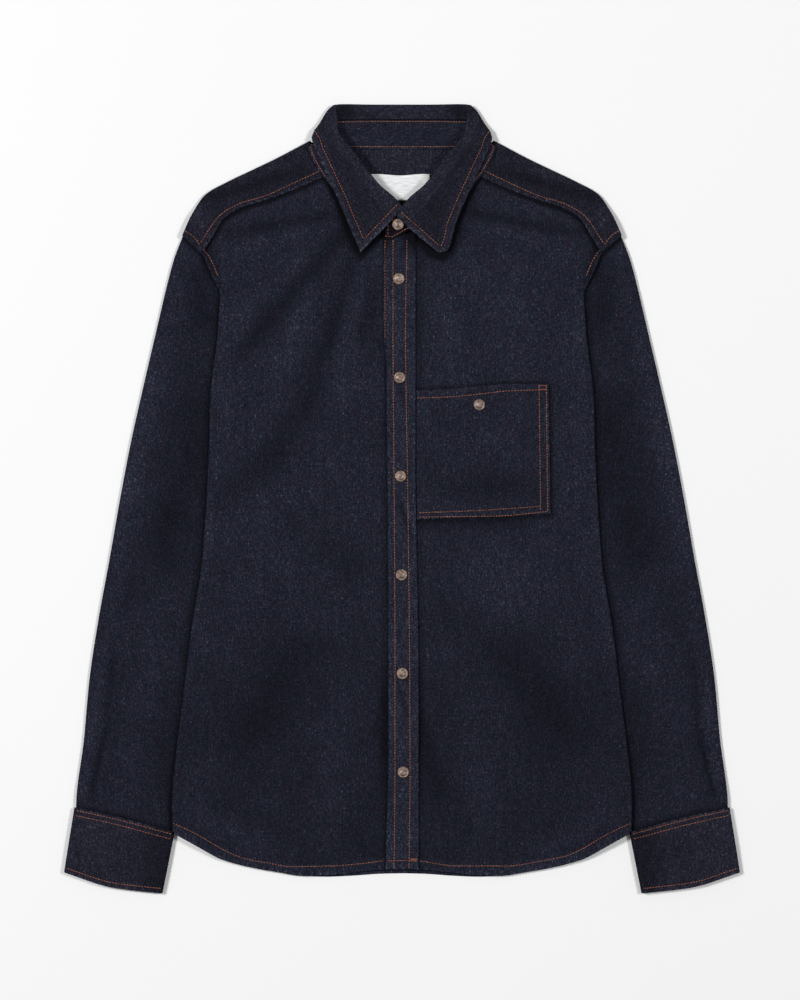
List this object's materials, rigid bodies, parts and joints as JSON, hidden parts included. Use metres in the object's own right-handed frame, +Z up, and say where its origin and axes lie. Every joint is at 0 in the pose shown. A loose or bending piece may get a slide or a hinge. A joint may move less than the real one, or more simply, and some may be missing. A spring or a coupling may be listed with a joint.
{
  "type": "denim shirt",
  "caption": "Long-sleeved denim shirt laid flat and fastened: point collar, yoke, snap placket, chest patch pocket, banded cuffs and a curved hem.",
  "frame": {"origin": "middle of the footprint, on the surface that the shirt lies on", "axes": "+Y towards the collar, +X towards the wearer's left sleeve, +Z up out of the front"},
  "size_m": [0.6766, 0.7894, 0.0189],
  "materials": {
    "denim": "dark washed denim twill",
    "satin": "white woven satin",
    "snap_metal": "antique copper plating"
  },
  "bodies": {
    "root": {"back": "denim", "yoke": "denim", "front_right": "denim", "front_left": "denim", "placket_under": "denim", "placket": "denim", "collar_stand": "denim", "collar_leaf": "denim", "sleeve_right": "denim", "sleeve_left": "denim", "cuff_right": "denim", "cuff_left": "denim", "pocket": "denim", "label": "satin", "snap_1": "snap_metal", "snap_2": "snap_metal", "snap_3": "snap_metal", "snap_4": "snap_metal", "snap_5": "snap_metal", "snap_6": "snap_metal", "snap_7": "snap_metal", "snap_pocket": "snap_metal"}
  },
  "joints": []
}
